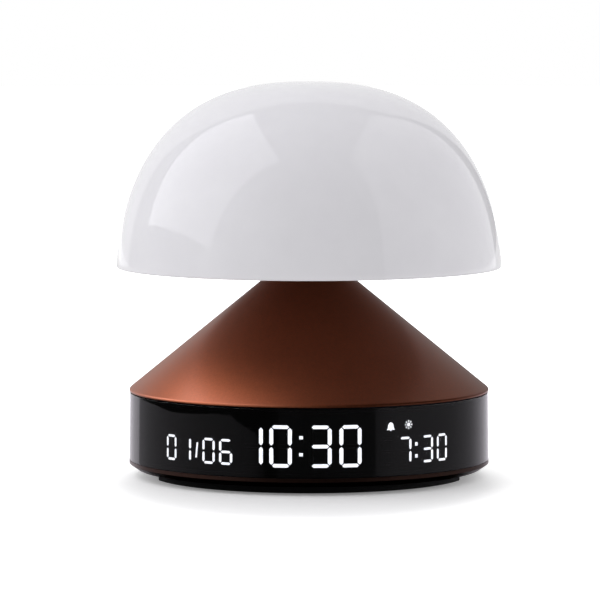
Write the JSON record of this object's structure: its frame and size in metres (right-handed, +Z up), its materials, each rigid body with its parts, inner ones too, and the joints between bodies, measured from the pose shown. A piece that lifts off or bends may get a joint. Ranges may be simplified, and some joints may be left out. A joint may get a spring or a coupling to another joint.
{
  "type": "sunrise alarm clock",
  "caption": "Round bedside clock: an opal domed lamp that presses down on a coned metal housing, above a wrap-round digital display, with push keys and a charging socket at the rear.",
  "frame": {"origin": "on the resting plane of the feet, under the middle of the clock", "axes": "+Z up along the vertical axis of the clock, -Y towards the display at the front, +X to the viewer's right"},
  "size_m": [0.1284, 0.1284, 0.1314],
  "materials": {
    "opal_shade": "opal white acrylic, polished, softly translucent",
    "copper_anodised": "copper-brown anodised aluminium, fine bead-blasted satin",
    "brown_base": "dark copper-brown satin coat",
    "smoked_band": "smoked black acrylic, polished",
    "mask_film": "black printed film",
    "white_glow": "milky light guides, lit white",
    "reflector_white": "white moulded reflector",
    "flex_amber": "amber polyimide flex board",
    "led_package": "white LED packages with yellow phosphor",
    "alloy_spreader": "plain turned aluminium",
    "white_board": "white solder mask",
    "green_board": "green solder mask",
    "steel_bright": "bright zinc-plated steel",
    "nickel": "nickel-plated strip and shell",
    "brass_nut": "turned brass",
    "underside_taupe": "taupe ABS, fine moulded texture",
    "black_abs": "black ABS, fine spark-eroded texture",
    "key_cap": "charcoal moulded key caps",
    "ivory_pin": "ivory nylon pins",
    "component_black": "black moulded component bodies",
    "connector_cream": "cream nylon connector bodies",
    "capacitor_blue": "sleeved cans",
    "cell_sleeve": "shrink-sleeved cell",
    "wire_red": "insulated wire",
    "speaker_frame": "black plated steel and ferrite",
    "speaker_paper": "pressed paper",
    "soft_black": "rubber and foam",
    "foot_rubber": "matte black rubber"
  },
  "bodies": {
    "clock_base": {"cone_housing": "copper_anodised", "neck_bushing": "black_abs", "inner_frame": "black_abs", "frame_screws": "steel_bright", "return_spring": "steel_bright", "press_switch": "component_black", "switch_board": "green_board", "light_harness": "wire_red", "display_band": "smoked_band", "display_mask": "mask_film", "time_digits": "white_glow", "date_digits": "white_glow", "alarm_digits": "white_glow", "alarm_icons": "white_glow", "unlit_segments": "mask_film", "display_reflector": "reflector_white", "display_flex_board": "flex_amber", "display_leds": "led_package", "chassis": "black_abs", "main_board": "green_board", "board_screws": "steel_bright", "processor_chips": "component_black", "board_connectors": "connector_cream", "board_capacitors": "capacitor_blue", "battery_cell": "cell_sleeve", "battery_tabs": "nickel", "battery_leads": "wire_red", "speaker_basket": "speaker_frame", "speaker_magnet": "speaker_frame", "speaker_surround": "soft_black", "speaker_gasket": "soft_black", "speaker_screws": "steel_bright", "rear_panel": "black_abs", "rear_board": "green_board", "button_switches": "component_black", "charge_board": "green_board", "usb_port": "nickel", "usb_tongue": "component_black", "base_cover": "brown_base", "base_screws": "steel_bright", "rubber_feet": "foot_rubber"},
    "light_head": {"shade_dome": "opal_shade", "shade_floor": "underside_taupe", "heat_spreader": "alloy_spreader", "led_board": "white_board", "light_leds": "led_package", "light_screws": "steel_bright", "press_stem": "steel_bright", "stem_nut": "brass_nut", "stem_clip": "steel_bright", "press_switch_plunger": "ivory_pin"},
    "light_key": {"button_light": "key_cap", "light_plunger": "ivory_pin"},
    "alarm_key": {"button_alarm": "key_cap", "alarm_plunger": "ivory_pin"},
    "minus_key": {"button_minus": "key_cap", "minus_plunger": "ivory_pin"},
    "plus_key": {"button_plus": "key_cap", "plus_plunger": "ivory_pin"},
    "speaker_diaphragm": {"speaker_cone": "speaker_paper"}
  },
  "joints": [
    {"name": "light_press", "type": "slide", "parent": "clock_base", "child": "light_head", "axis": [0, 0, -1], "range_m": [0, 0.0008], "stiffness_N_per_m": 1500, "springref_m": -0.0027, "deforming": ["return_spring", "light_harness"]},
    {"name": "alarm_press", "type": "slide", "parent": "clock_base", "child": "alarm_key", "axis": [0, -1, 0], "range_m": [0, 0.0005], "stiffness_N_per_m": 400, "springref_m": -0.0025},
    {"name": "minus_press", "type": "slide", "parent": "clock_base", "child": "minus_key", "axis": [0, -1, 0], "range_m": [0, 0.0005], "stiffness_N_per_m": 400, "springref_m": -0.0025},
    {"name": "plus_press", "type": "slide", "parent": "clock_base", "child": "plus_key", "axis": [0, -1, 0], "range_m": [0, 0.0005], "stiffness_N_per_m": 400, "springref_m": -0.0025},
    {"name": "light_key_press", "type": "slide", "parent": "clock_base", "child": "light_key", "axis": [0, -1, 0], "range_m": [0, 0.0005], "stiffness_N_per_m": 400, "springref_m": -0.0025},
    {"name": "diaphragm_stroke", "type": "slide", "parent": "clock_base", "child": "speaker_diaphragm", "axis": [0, 0, 1], "range_m": [-0.0004, 0.0004], "stiffness_N_per_m": 800}
  ]
}
